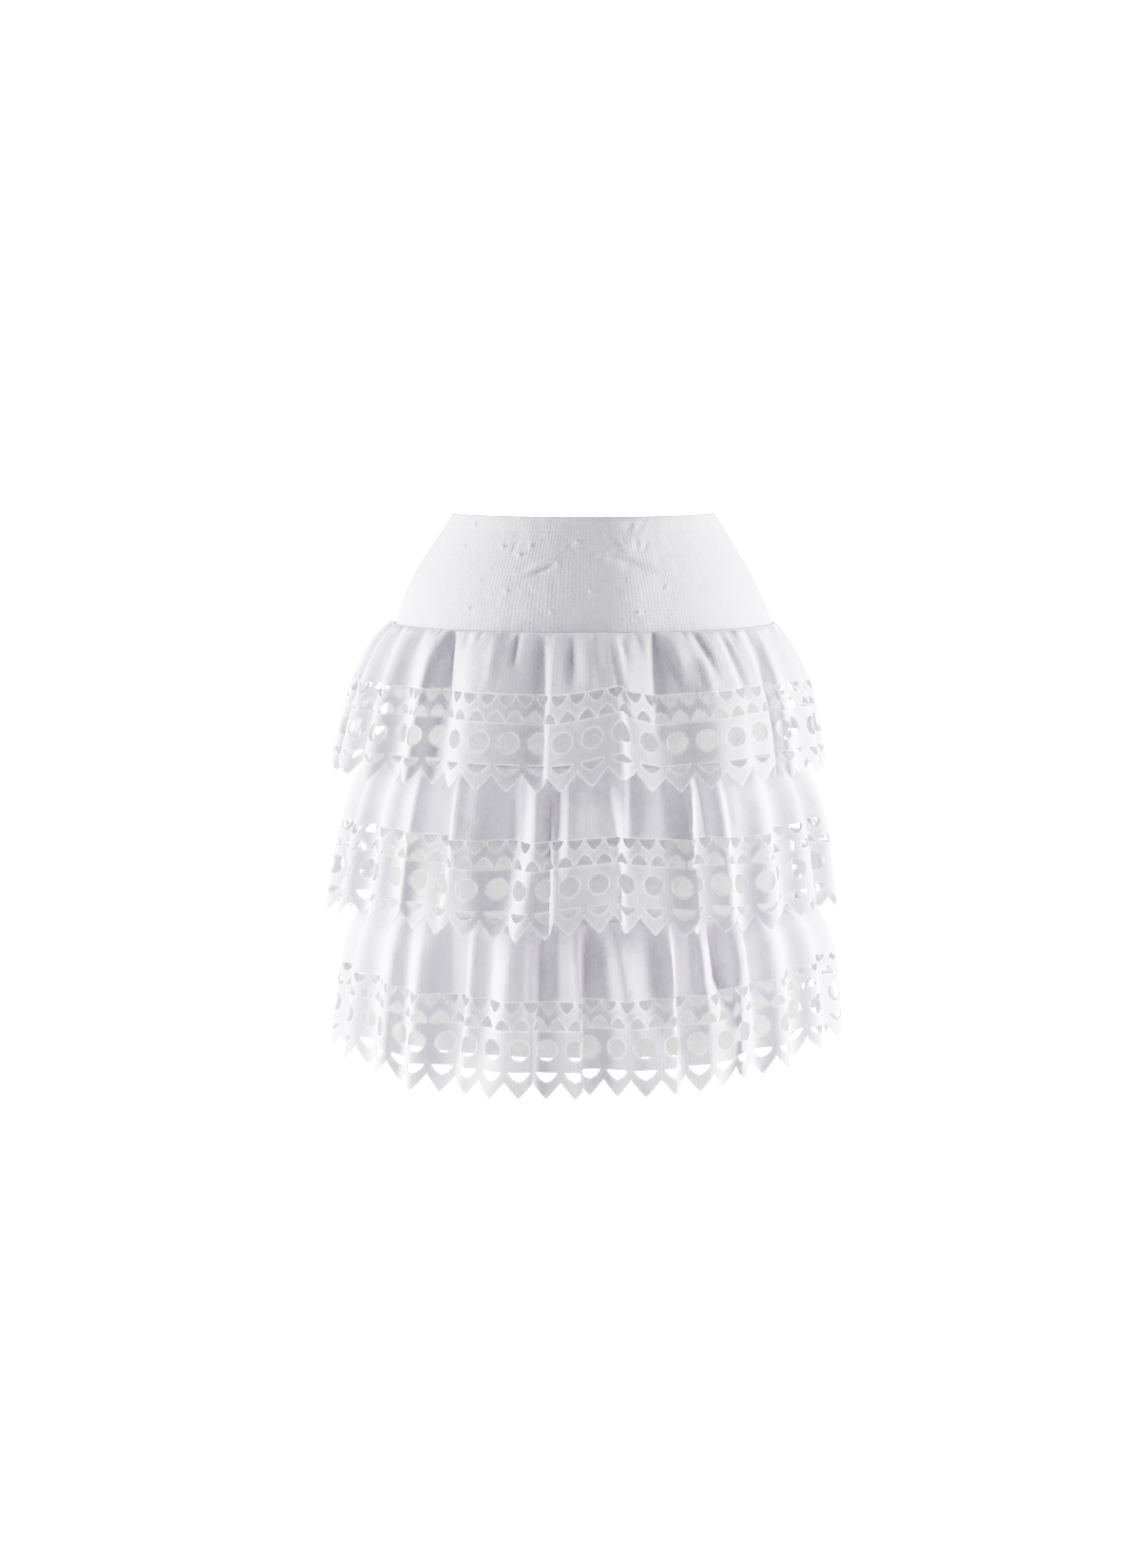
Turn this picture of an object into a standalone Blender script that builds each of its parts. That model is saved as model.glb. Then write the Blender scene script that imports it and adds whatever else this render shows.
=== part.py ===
"""A knitted skater skirt, filled out as it is worn: a smooth stretch yoke, an underskirt below it, and three
gathered tiers with cutwork borders sewn round them. Metres, +Z up. The origin is the middle of the waist, the
front faces -Y and the left side in the front view is -X."""

import functools
import math

import bmesh
import bpy
import numpy as np
from mathutils import Vector
from mathutils.geometry import delaunay_2d_cdt

MM = 0.001

# Cloth
YOKE_WALL = 1.6 * MM
BASE_WALL = 1.4 * MM
TIER_WALL = 1.5 * MM
SEAM_GAP = 0.3 * MM  # left between neighbouring pieces
SIDE_GAP = 0.7 * MM  # the same between a tier's front and back, measured flat: the gathers draw it in
YOKE_HEIGHT = 102 * MM
BASE_HEM_Z = -483 * MM
BACK_WAIST_DIP = 10 * MM  # the waist runs lower at the centre back
SIDE_RADIUS = 120 * MM  # about the body's depth at a side seam
LOW_EDGE_LEAN = 0.35  # how far the yoke's sloping wall reaches below its outer edge, as a share of the wall
END_LEAN = 0.2  # how far a wall's end leans over the side seam, as a share of the wall

# The body of the skirt, as half sizes from the middle to each side, in mm, by height.
BODY_COLUMNS = ("z", "left", "right", "front", "back")
BODY_RINGS = (
    (0, 120.5, 120.5, 86, 89),
    (-16, 131, 130.5, 91, 95),
    (-32, 142, 140.5, 96, 101),
    (-46, 151, 149, 100.5, 107),
    (-62, 160, 158, 105, 112.5),
    (-78, 167, 165.5, 109, 117.5),
    (-91, 171.5, 171, 112, 121),
    (-102, 174.5, 175, 114.5, 124),
    (-165, 182, 182, 121, 130),
    (-232, 188, 188, 127, 136),
    (-300, 194.5, 194.5, 132, 142),
    (-372, 200.5, 200.5, 137, 147),
    (-483, 206, 206, 142, 152),
)

# Cutwork border, the same on every tier. A cell is one circle wide. v runs down the cloth from the gathered seam.
CELL = 26.3 * MM
CELLS_HALF = 28  # from one side seam to the other
CIRCLE_V = 104.8 * MM
CIRCLE_RADIUS = 8.9 * MM
CIRCLE_SIDES = 8
LEAF_TOP_V = 125 * MM
LEAF_LOW_V = 133 * MM
LEAF_HALF = 9.5 * MM
VALLEY_V = 133 * MM
TIER_LENGTH = 149 * MM  # of the top tier, from its seam to its points
HIDDEN = {"tier_1": 0 * MM, "tier_2": 10 * MM, "tier_3": 12 * MM}  # cut longer by this, behind the tier above
PLAIN_V = 55 * MM  # the extra length is above this, in the plain cloth
PLAIN_ROWS_V = (0.0, 18 * MM, 90 * MM)  # rows of three panels to a cell
BORDER_ROW_V = 120 * MM  # a row of two panels to a cell

# How each tier stands off the body on each side: the angle from the vertical at its seam and the length in which
# that dies away, and how far the middle of its folds is out at the hem.
FLARE_COLUMNS = ("side", "seam_angle", "fade_mm", "hem_out_mm")
FLARES = {
    "tier_1": (("left", 70, 22, 56), ("right", 37, 60, 41), ("front", 68, 18, 55), ("back", 66, 20, 54)),
    "tier_2": (("left", 58, 23, 46), ("right", 54, 30, 41), ("front", 66, 18, 46), ("back", 64, 20, 45)),
    "tier_3": (("left", 40, 24, 31), ("right", 80, 22, 38), ("front", 62, 18, 37), ("back", 60, 20, 37)),
}
HEM_ANGLES = (-30.0, 60.0)  # the angle at the hem is found between these
FLARE_STEPS = 150
SEAM_Z = {"tier_1": -102 * MM, "tier_2": -222 * MM, "tier_3": -360 * MM}
TWIST = {"tier_1": 14 * MM, "tier_2": 3 * MM, "tier_3": -14 * MM}  # how far each has slipped round the body

# Crests and troughs of the folds at the hem, from the left side seam round the front to the right one: where each
# lies in cells, how far it stands out from the middle line, and how much the hem is drawn up there, in mm.
FOLD_COLUMNS = ("at_cell", "out_mm", "lift_mm")
FOLDS = {
    "tier_1": (
        (0.45, -8, 0), (1.2, 9, 0), (2.0, -9, 0), (3.1, 9, 1), (4.2, -9, 0), (5.3, 9, 1), (6.4, -7, 1),
        (7.5, 8, 2), (8.5, -10, 1), (10.1, 7, 1), (12.7, -4, -1), (13.0, 3, -1), (13.8, 5, 2),
        (15.5, 5, 12), (15.85, 1, 5), (16.9, -1, -2), (18.9, 14, 4), (19.7, 15, 6), (20.3, 12, 8),
        (21.0, 12, 9), (21.9, -4, 9), (22.6, 10, 8), (23.5, 0, 9), (24.6, 9, 8), (25.7, -9, 8),
        (26.8, 9, 6),
    ),
    "tier_2": (
        (0.3, -10, 3), (1.3, 11, 4), (2.5, -11, 5), (3.6, 11, 6), (4.7, -9, 7), (5.7, 5, 8), (6.4, -2, 6),
        (6.95, 4, 5), (7.4, -3, 4), (8.2, 2, 3), (9.4, 1, 0), (10.8, -7, 0), (11.5, 5, 0), (12.65, -5, 2),
        (12.95, 3, 4), (14.0, 1, 8), (15.25, 9, 12), (15.55, 3, 8), (16.8, 1, 5), (18.0, 12, 3),
        (18.6, -7, 5), (19.8, 6, 5), (20.6, -7, 2), (21.7, 8, 5), (22.8, -10, 8), (24.0, 7, 12),
        (25.1, -11, 12), (26.2, 11, 11), (27.3, -10, 9),
    ),
    "tier_3": (
        (0.3, -8, 17), (1.4, 9, 17), (2.5, -8, 17), (3.6, 9, 15), (4.7, -8, 13), (5.8, 6, 9), (6.5, -8, 4),
        (7.4, 7, 1), (8.7, -4, 0), (9.4, -5, 0), (10.6, 5, 0), (11.95, 4, 1), (12.3, -3, 0), (13.75, 4, 1),
        (14.4, -13, 2), (16.6, 12, 4), (17.55, 11, 4), (17.9, 4, 4), (18.9, 4, 4), (19.9, -9, 5),
        (20.4, 4, 11), (21.3, -6, 10), (22.3, 9, 12), (23.4, -9, 18), (24.5, 9, 22), (25.6, -8, 24),
        (26.8, 9, 24),
    ),
}
BACK_FOLDS_OF = {"tier_1": "tier_3", "tier_2": "tier_1", "tier_3": "tier_2"}  # turned end for end
BACK_LIFT = 0.4  # how much of their lift the back's folds have
SIDE_LIFT_CELLS = 3.5  # the front's lift at a side seam dies away in about this many cells of the back
FOLD_SPACING = 0.8  # cells at least between the front's folds and the back's
FOLD_LINE_V = 119 * MM  # the folds take up the length round the tier on this line
FOLD_SCALES = (0.3, 1.4)  # the factor on all out_mm that does so is found between these
FOLD_STEPS = 24  # points of the curve from a crest to a trough
MOST_BEND = 1.9  # radians that the hem's line swings out to in a deep fold
SLOPE_STEPS = 60
HALVINGS = 30  # of an interval, to find a number
ROUND_STEPS = 1400
ROUND_SPARE = 0.5  # radians of the table of lengths round a tier beyond each end of a full turn

# Small gathers where a tier is sewn on. They puff out below the seam and run out lower down.
GATHERS = 42  # to a tier
GATHER_OUT = 2.0 * MM
GATHER_PEAK_V = 14 * MM
GATHER_END_V = 60 * MM
GATHER_DRIFTS = ((5, 0.9, 0.0), (11, 0.6, 1.0))  # times round, radians and phase of what makes them uneven
FOLD_START = {"tier_1": 0.45, "tier_2": 0.7, "tier_3": 0.8}  # share of a fold's height that it has near the seam
FOLD_START_V = 8 * MM
FOLD_FULL_V = 95 * MM
SEAM_EVEN_CELLS = 2.5
SEAM_STEPS = 20  # to a cell
LEAVES_CUT = ("tier_1_front", "tier_2_front", "tier_3_front", "tier_3_back")

YOKE_COLUMNS = 18
YOKE_ROWS = 4
BASE_COLUMNS = 16

CLOTH_COLOUR = (0.86, 0.86, 0.88, 1.0)
CLOTH_ROUGHNESS = 0.85


def clear_scene():
    for thing in list(bpy.data.objects):
        bpy.data.objects.remove(thing)


def cloth_material(name):
    material = bpy.data.materials.new(name)
    material.use_nodes = True
    shader = material.node_tree.nodes["Principled BSDF"]
    shader.inputs["Base Color"].default_value = CLOTH_COLOUR
    shader.inputs["Roughness"].default_value = CLOTH_ROUGHNESS
    shader.inputs["Metallic"].default_value = 0.0
    material.diffuse_color = CLOTH_COLOUR
    return material


# ---------------------------------------------------------------- the body of the skirt


def smooth_between(x, knots, values):
    """Values at x on a smooth curve through the knots (cubic, with averaged slopes), for a table in rising order."""
    steps = np.diff(knots)
    rises = np.diff(values) / steps
    slopes = np.concatenate([rises[:1], (rises[1:] + rises[:-1]) / 2, rises[-1:]])
    i = np.clip(np.searchsorted(knots, x) - 1, 0, len(steps) - 1)
    t = np.clip((x - knots[i]) / steps[i], 0, 1)
    start = values[i] + slopes[i] * steps[i] * t * (1 - t) ** 2
    end = -slopes[i + 1] * steps[i] * (1 - t) * t**2
    return start + (values[i + 1] - values[i]) * t**2 * (3 - 2 * t) + end


def body_half_sizes(z):
    """(left, right, front, back) of the body's outer face at heights z."""
    table = np.array(BODY_RINGS[::-1]) * MM
    return [smooth_between(z, table[:, 0], table[:, k]) for k in range(1, len(BODY_COLUMNS))]


def body_ring(angle, z):
    """(x, y) on the body's outer face, and the way out (x, y). The angle is 0 at the left side, then runs round the
    front to 180 degrees at the right side."""
    left, right, front, back = body_half_sizes(z)
    across = np.where(np.cos(angle) > 0, left, right)
    deep = np.where(np.sin(angle) > 0, front, back)
    x = -across * np.cos(angle)
    y = -deep * np.sin(angle)
    out_x = -deep * np.cos(angle)
    out_y = -across * np.sin(angle)
    length = np.hypot(out_x, out_y)
    return x, y, out_x / length, out_y / length


# ---------------------------------------------------------------- the tiers


@functools.cache
def flare_of(tier, side):
    """(v, out, drop): how far the cloth of this side is out from its seam and below it, at lengths v down it."""
    row = next(row for row in FLARES[tier] if row[0] == side)
    _, seam_angle, fade_mm, hem_out_mm = row
    v = np.linspace(0, TIER_LENGTH + HIDDEN[tier], FLARE_STEPS)
    middle = (v[1:] + v[:-1]) / 2
    step = v[1] - v[0]
    low, high = HEM_ANGLES
    for _ in range(HALVINGS):
        hem_angle = (low + high) / 2
        angle = np.radians(hem_angle + (seam_angle - hem_angle) * np.exp(-middle / (fade_mm * MM)))
        if np.sin(angle).sum() * step < hem_out_mm * MM:
            low = hem_angle
        else:
            high = hem_angle
    out = np.concatenate([[0], np.cumsum(np.sin(angle) * step)])
    drop = np.concatenate([[0], np.cumsum(np.cos(angle) * step)])
    return v, out, drop


def cut_length(tier, v):
    """Distance down a tier's cloth from its seam, for places v on the pattern that all tiers share."""
    extra = HIDDEN[tier]
    return np.interp(v, (0, PLAIN_V, TIER_LENGTH), (0, PLAIN_V + extra, TIER_LENGTH + extra))


def stand_off(tier, angle, v):
    """(out, drop) of a tier's middle line at this angle round the body, blended from the sides' flares."""
    out = np.zeros_like(v)
    drop = np.zeros_like(v)
    for side, share in (
        ("left", np.maximum(np.cos(angle), 0) ** 2),
        ("right", np.maximum(-np.cos(angle), 0) ** 2),
        ("front", np.maximum(np.sin(angle), 0) ** 2),
        ("back", np.maximum(-np.sin(angle), 0) ** 2),
    ):
        lengths, outs, drops = flare_of(tier, side)
        out += share * np.interp(cut_length(tier, v), lengths, outs)
        drop += share * np.interp(cut_length(tier, v), lengths, drops)
    return out, drop


def lobe_means(bend):
    """Mean advance and mean rise, per length of cloth, of half a wave whose slope swings out to this angle and back."""
    t = (np.arange(SLOPE_STEPS) + 0.5) / SLOPE_STEPS
    slope = bend * np.sin(math.pi * t)
    return np.cos(slope).mean(), np.sin(slope).mean()


def bend_for(steepness):
    """The slope to which half a wave swings if it rises by this share of its cloth's length."""
    low, high = 0.0, MOST_BEND
    for _ in range(HALVINGS):
        bend = (low + high) / 2
        if lobe_means(bend)[1] < steepness:
            low = bend
        else:
            high = bend
    return bend


def fold_line(rows, scale):
    """(u, along, out) down the line of the hem through the folds' crests and troughs, whose cloth isn't stretched."""
    u, along, out = [0.0], [0.0], [rows[0][1] * scale * MM]
    t = (np.arange(FOLD_STEPS) + 0.5) / FOLD_STEPS
    for here, there in zip(rows, rows[1:]):
        length = (there[0] - here[0]) * CELL
        rise = (there[1] - here[1]) * scale * MM
        slope = bend_for(abs(rise) / length) * np.sin(math.pi * t) * np.sign(rise)
        step = length / FOLD_STEPS
        u.extend(u[-1] + step * np.arange(1, FOLD_STEPS + 1))
        along.extend(along[-1] + np.cumsum(np.cos(slope)) * step)
        out.extend(out[-1] + np.cumsum(np.sin(slope)) * step)
    return np.array(u), np.array(along), np.array(out)


def all_folds(tier):
    """The rows of folds all round a tier, and the first again at the end."""
    front = list(FOLDS[tier])
    last_at, _, last_lift = front[-1]
    first_at, first_out, first_lift = front[0]
    first_at += 2 * CELLS_HALF
    back = []
    for at, out, lift in reversed(FOLDS[BACK_FOLDS_OF[tier]]):
        at = 2 * CELLS_HALF - at
        if last_at + FOLD_SPACING < at < first_at - FOLD_SPACING:
            from_right = last_lift * math.exp(-(at - last_at) / SIDE_LIFT_CELLS)
            from_left = first_lift * math.exp(-(first_at - at) / SIDE_LIFT_CELLS)
            back.append((at, out, max(lift * BACK_LIFT, from_right, from_left)))
    return front + back + [(first_at, first_out, first_lift)]


class Drape:
    """Where the cloth of one tier lies in space: u runs round it from the left side seam, v down it."""

    def __init__(self, tier):
        self.tier = tier
        self.round = 2 * CELLS_HALF * CELL
        rows = all_folds(tier)
        angles = np.linspace(-ROUND_SPARE, 2 * math.pi + ROUND_SPARE, ROUND_STEPS)
        self.angles = angles
        self.hem_along = self.lengths_round(angles, np.full_like(angles, FOLD_LINE_V))
        hem_round = np.interp(2 * math.pi, angles, self.hem_along)
        low, high = FOLD_SCALES
        for _ in range(HALVINGS):
            scale = (low + high) / 2
            u, along, out = fold_line(rows, scale)
            if along[-1] > hem_round:
                low = scale
            else:
                high = scale
        start = rows[0][0] * CELL
        self.fold_u = u + start
        self.fold_out = out
        slack = along * hem_round / along[-1]
        shift = np.interp(0, np.concatenate([self.fold_u - self.round, self.fold_u]),
                          np.concatenate([slack - hem_round, slack]))
        self.fold_along = slack - shift + TWIST[tier]
        self.hem_round = hem_round
        self.lift_u = np.array([row[0] * CELL for row in rows])
        self.lift = np.array([row[2] * MM for row in rows])
        self.seam_u, self.seam_drift = self.even_seam()

    def hem_angle(self, u):
        turn = np.floor((u - self.fold_u[0]) / self.round)
        along = np.interp(u - turn * self.round, self.fold_u, self.fold_along) + turn * self.hem_round
        return np.interp(along, self.hem_along, self.angles)

    def even_seam(self):
        """(u, drift): how far the cloth at the seam lies round from an even spacing, in radians. It follows the
        hem, smoothed over some cells, so that the folds hang straight."""
        u = (np.arange(2 * CELLS_HALF * SEAM_STEPS) + 0.5) * CELL / SEAM_STEPS
        drift = self.hem_angle(u) - 2 * math.pi * u / self.round
        window = np.hanning(round(2 * SEAM_EVEN_CELLS * SEAM_STEPS) + 1)
        thrice = np.convolve(np.tile(drift, 3), window / window.sum(), mode="same")
        return u, thrice[len(u) : 2 * len(u)]

    def lengths_round(self, angles, v):
        """Distance round the tier at v from angle 0, for each of the angles."""
        x, y, out_x, out_y = body_ring(angles, np.full_like(angles, SEAM_Z[self.tier]))
        out, _ = stand_off(self.tier, angles, v)
        x = x + out_x * out
        y = y + out_y * out
        along = np.concatenate([[0], np.cumsum(np.hypot(np.diff(x), np.diff(y)))])
        return along - np.interp(0, angles, along)

    def place(self, u, v):
        """Points in space of the middle of the cloth."""
        fold = np.interp(u, self.fold_u, self.fold_out, period=self.round)
        lift = np.interp(u, self.lift_u, self.lift, period=self.round)
        hem_angle = self.hem_angle(u)
        even_angle = 2 * math.pi * u / self.round
        seam_angle = even_angle + np.interp(u, self.seam_u, self.seam_drift, period=self.round)
        grown = np.clip(v / FOLD_FULL_V, 0, 1)
        grown = grown**2 * (3 - 2 * grown)
        angle = seam_angle + (hem_angle - seam_angle) * grown
        start = FOLD_START[self.tier] * (1 - np.exp(-v / FOLD_START_V))
        gather = GATHER_OUT * gather_wave(u, self.round) * gather_share(v)
        out, drop = stand_off(self.tier, angle, v)
        out = out + fold * (start + (1 - FOLD_START[self.tier]) * grown) + gather
        out = out + SEAM_GAP + TIER_WALL / 2
        x, y, out_x, out_y = body_ring(angle, np.full_like(angle, SEAM_Z[self.tier]))
        z = SEAM_Z[self.tier] - SEAM_GAP - drop + lift * grown
        return np.stack([x + out_x * out, y + out_y * out, z], axis=1)


def gather_wave(u, around):
    """Uneven gathers round a tier, from -1 to 1."""
    turn = 2 * math.pi * u / around
    drift = sum(most * np.sin(times * turn + phase) for times, most, phase in GATHER_DRIFTS)
    return np.sin(GATHERS * turn + drift)


def gather_share(v):
    rise = np.clip(v / GATHER_PEAK_V, 0, 1)
    fall = np.clip((GATHER_END_V - v) / (GATHER_END_V - GATHER_PEAK_V), 0, 1)
    return rise * fall


# ---------------------------------------------------------------- meshes


def cell_pattern(leaf):
    """(points, triangles) of one cell of a tier, flat, with its holes cut: a circle and, if leaf is set, a leaf."""
    points, edges, holes = [], [], []

    def line(corners, closed=False):
        first = len(points)
        points.extend(corners)
        edges.extend((first + i, first + i + 1) for i in range(len(corners) - 1))
        if closed:
            edges.append((first + len(corners) - 1, first))

    for v in PLAIN_ROWS_V:
        line([(CELL * i / 3, v) for i in range(4)])
    line([(CELL * i / 2, BORDER_ROW_V) for i in range(3)])
    hem = [(0.0, VALLEY_V), (CELL / 2, TIER_LENGTH), (CELL, VALLEY_V)]
    line(hem)
    outline = [(0.0, 0.0), (CELL, 0.0), hem[2], hem[1], hem[0]]
    turns = [math.pi * (2 * k + 1) / CIRCLE_SIDES for k in range(CIRCLE_SIDES)]
    holes.append(
        [(CELL / 2 + CIRCLE_RADIUS * math.cos(a), CIRCLE_V + CIRCLE_RADIUS * math.sin(a)) for a in turns]
    )
    if leaf:
        holes.append(
            [(CELL / 2 - LEAF_HALF, LEAF_TOP_V), (CELL / 2 + LEAF_HALF, LEAF_TOP_V), (CELL / 2, LEAF_LOW_V)]
        )
    for hole in holes:
        line(hole, closed=True)
    for side in (0.0, CELL):
        ends = sorted({v for x, v in points if abs(x - side) < 1e-9})
        line([(side, v) for v in ends])
    scale = 1000.0  # the triangulation works better on numbers near one
    flat, _, faces, *_ = delaunay_2d_cdt([Vector(p) * scale for p in points], edges, [], 0, 1e-4)
    flat = np.array(flat) / scale
    kept = [
        face
        for face in faces
        if inside(flat[list(face)].mean(axis=0), outline)
        and not any(inside(flat[list(face)].mean(axis=0), hole) for hole in holes)
    ]
    return flat, kept


def inside(point, outline):
    """Whether a point is inside a closed outline."""
    x, y = point
    crossings = 0
    for (x0, y0), (x1, y1) in zip(outline, outline[1:] + outline[:1]):
        if (y0 > y) != (y1 > y) and x < x0 + (y - y0) * (x1 - x0) / (y1 - y0):
            crossings += 1
    return crossings % 2 == 1


def flat_panel(leaf):
    """A half tier, flat and cut out, as a bmesh whose points are (u, v, 0)."""
    points, faces = cell_pattern(leaf)
    panel = bmesh.new()
    for cell in range(CELLS_HALF):
        corners = [panel.verts.new((x + cell * CELL, v, 0)) for x, v in points]
        for face in faces:
            panel.faces.new([corners[i] for i in face])
    bmesh.ops.remove_doubles(panel, verts=panel.verts, dist=0.01 * MM)
    return panel


def half_tier(tier, half, collection):
    """The front or the back of a tier, from its flat cut to its drape."""
    name = f"{tier}_{half}"
    panel = flat_panel(name in LEAVES_CUT)
    flat = np.array([vert.co[:2] for vert in panel.verts])
    width = CELLS_HALF * CELL
    u = np.clip(flat[:, 0], SIDE_GAP / 2, width - SIDE_GAP / 2) + (0 if half == "front" else width)
    for vert, place in zip(panel.verts, Drape(tier).place(u, flat[:, 1])):
        vert.co = place
    cloth_object(name, panel, TIER_WALL, 0.0, collection)


def body_piece(name, half, heights, wall, columns, collection):
    """The front or the back of the yoke or of the underskirt, as rings at these heights."""
    ends = (SEAM_GAP / 2 + END_LEAN * wall) / SIDE_RADIUS
    first = 0.0 if half == "front" else math.pi
    angles = np.linspace(first + ends, first + math.pi - ends, columns + 1)
    piece = bmesh.new()
    grid = []
    for height in heights:
        z = height - waist_dip(angles, height)
        x, y, _, _ = body_ring(angles, z)
        grid.append([piece.verts.new(point) for point in zip(x, y, z)])
    for upper, lower in zip(grid, grid[1:]):
        for i in range(columns):
            piece.faces.new((upper[i], upper[i + 1], lower[i + 1], lower[i]))
    cloth_object(name, piece, wall, -1.0, collection)


def waist_dip(angles, height):
    """How far a ring lies below its height, all of it at the waist and none at the yoke's seam."""
    return BACK_WAIST_DIP * max(1 + height / YOKE_HEIGHT, 0) * np.maximum(-np.sin(angles), 0)


def cloth_object(name, surface, wall, offset, collection):
    """An object of an open surface, thickened to a wall."""
    bmesh.ops.recalc_face_normals(surface, faces=surface.faces)
    surface.faces.ensure_lookup_table()
    middle = surface.faces[0].calc_center_median()
    if surface.faces[0].normal.xy.dot(middle.xy) < 0:
        bmesh.ops.reverse_faces(surface, faces=surface.faces)
    mesh = bpy.data.meshes.new(name)
    surface.to_mesh(mesh)
    surface.free()
    mesh.shade_smooth()
    mesh.materials.append(cloth_material(name))
    thing = bpy.data.objects.new(name, mesh)
    collection.objects.link(thing)
    solid = thing.modifiers.new("wall", "SOLIDIFY")
    solid.thickness = wall
    solid.offset = offset
    return thing


def main():
    clear_scene()
    collection = bpy.data.collections.new("skater_skirt")
    bpy.context.scene.collection.children.link(collection)
    for half in ("front", "back"):
        yoke_heights = np.linspace(0, -YOKE_HEIGHT, YOKE_ROWS + 1)
        body_piece(f"yoke_{half}", half, yoke_heights, YOKE_WALL, YOKE_COLUMNS, collection)
        base_top = -YOKE_HEIGHT - SEAM_GAP - LOW_EDGE_LEAN * YOKE_WALL
        base_heights = (base_top, SEAM_Z["tier_2"], SEAM_Z["tier_3"], BASE_HEM_Z)
        body_piece(f"base_{half}", half, base_heights, BASE_WALL, BASE_COLUMNS, collection)
        for tier in FLARES:
            half_tier(tier, half, collection)


main()
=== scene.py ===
"""The dressed skater skirt: a smooth knitted yoke, an underskirt and three gathered tiers with cutwork borders.
Metres, in the frame of the model: +Z up, the front faces -Y, and u runs round a tier from the left side seam (-X)
by the front, v down it from the seam it is gathered into."""

import functools
import math

import bmesh
import bpy
import numpy as np
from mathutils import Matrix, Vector
from mathutils.geometry import delaunay_2d_cdt


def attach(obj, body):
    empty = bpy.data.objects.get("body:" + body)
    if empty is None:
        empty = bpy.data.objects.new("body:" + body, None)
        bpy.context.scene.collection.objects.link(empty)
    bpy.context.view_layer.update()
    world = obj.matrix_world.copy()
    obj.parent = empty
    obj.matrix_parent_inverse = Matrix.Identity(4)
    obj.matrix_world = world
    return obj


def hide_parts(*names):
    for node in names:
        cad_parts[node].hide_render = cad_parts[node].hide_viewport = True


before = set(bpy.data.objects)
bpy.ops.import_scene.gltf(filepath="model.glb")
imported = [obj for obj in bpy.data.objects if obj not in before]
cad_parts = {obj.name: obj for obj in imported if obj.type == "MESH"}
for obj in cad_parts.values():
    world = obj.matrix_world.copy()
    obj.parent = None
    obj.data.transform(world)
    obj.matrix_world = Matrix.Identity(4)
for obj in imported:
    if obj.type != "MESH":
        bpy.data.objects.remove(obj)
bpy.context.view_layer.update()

MM = 0.001
HALVINGS = 30  # of an interval, to find a number

# ---------------------------------------------------------------- sizes of the skirt, as in the model

YOKE_HEIGHT = 102 * MM
YOKE_WALL = 1.6 * MM
BASE_WALL = 1.4 * MM
TIER_WALL = 1.4 * MM
SEAM_GAP = 0.3 * MM
BASE_HEM_Z = -483 * MM
BACK_WAIST_DIP = 10 * MM

BODY_COLUMNS = ("z", "left", "right", "front", "back")
BODY_RINGS = (
    (0, 120.5, 120.5, 86, 89),
    (-16, 131, 130.5, 91, 95),
    (-32, 142, 140.5, 96, 101),
    (-46, 151, 149, 100.5, 107),
    (-62, 160, 158, 105, 112.5),
    (-78, 167, 165.5, 109, 117.5),
    (-91, 171.5, 171, 112, 121),
    (-102, 174.5, 175, 114.5, 124),
    (-165, 182, 182, 121, 130),
    (-232, 188, 188, 127, 136),
    (-300, 194.5, 194.5, 132, 142),
    (-372, 200.5, 200.5, 137, 147),
    (-483, 206, 206, 142, 152),
)

CELL = 26.3 * MM  # one circle of the border
REPEAT = 2 * CELL  # two circles and three triangles of each row
CELLS_ROUND = 56
REPEATS = CELLS_ROUND // 2
TIER_LENGTH = 149 * MM  # of the top tier, from its seam to its points
HIDDEN = {"tier_1": 0 * MM, "tier_2": 10 * MM, "tier_3": 12 * MM}  # cut longer by this, behind the tier above
PLAIN_V = 55 * MM  # end of the plain cloth
VALLEY_V = 133 * MM  # bottom of the notches in the zigzag

# Flare of each tier, as (side, angle from the vertical at the seam, length in mm in which it fades, reach in mm at
# the hem).
FLARES = {
    "tier_1": (("left", 70, 22, 56), ("right", 37, 60, 41), ("front", 68, 18, 55), ("back", 66, 20, 54)),
    "tier_2": (("left", 58, 23, 46), ("right", 54, 30, 41), ("front", 66, 18, 46), ("back", 64, 20, 45)),
    "tier_3": (("left", 40, 24, 31), ("right", 80, 22, 38), ("front", 62, 18, 37), ("back", 60, 20, 37)),
}
HEM_ANGLES = (-30.0, 60.0)  # degrees between which the cloth's slant at the hem is found
FLARE_STEPS = 150
SEAM_Z = {"tier_1": -102 * MM, "tier_2": -222 * MM, "tier_3": -360 * MM}
TWIST = {"tier_1": 14 * MM, "tier_2": 3 * MM, "tier_3": -14 * MM}  # of the hem, to the right at the front

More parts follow.
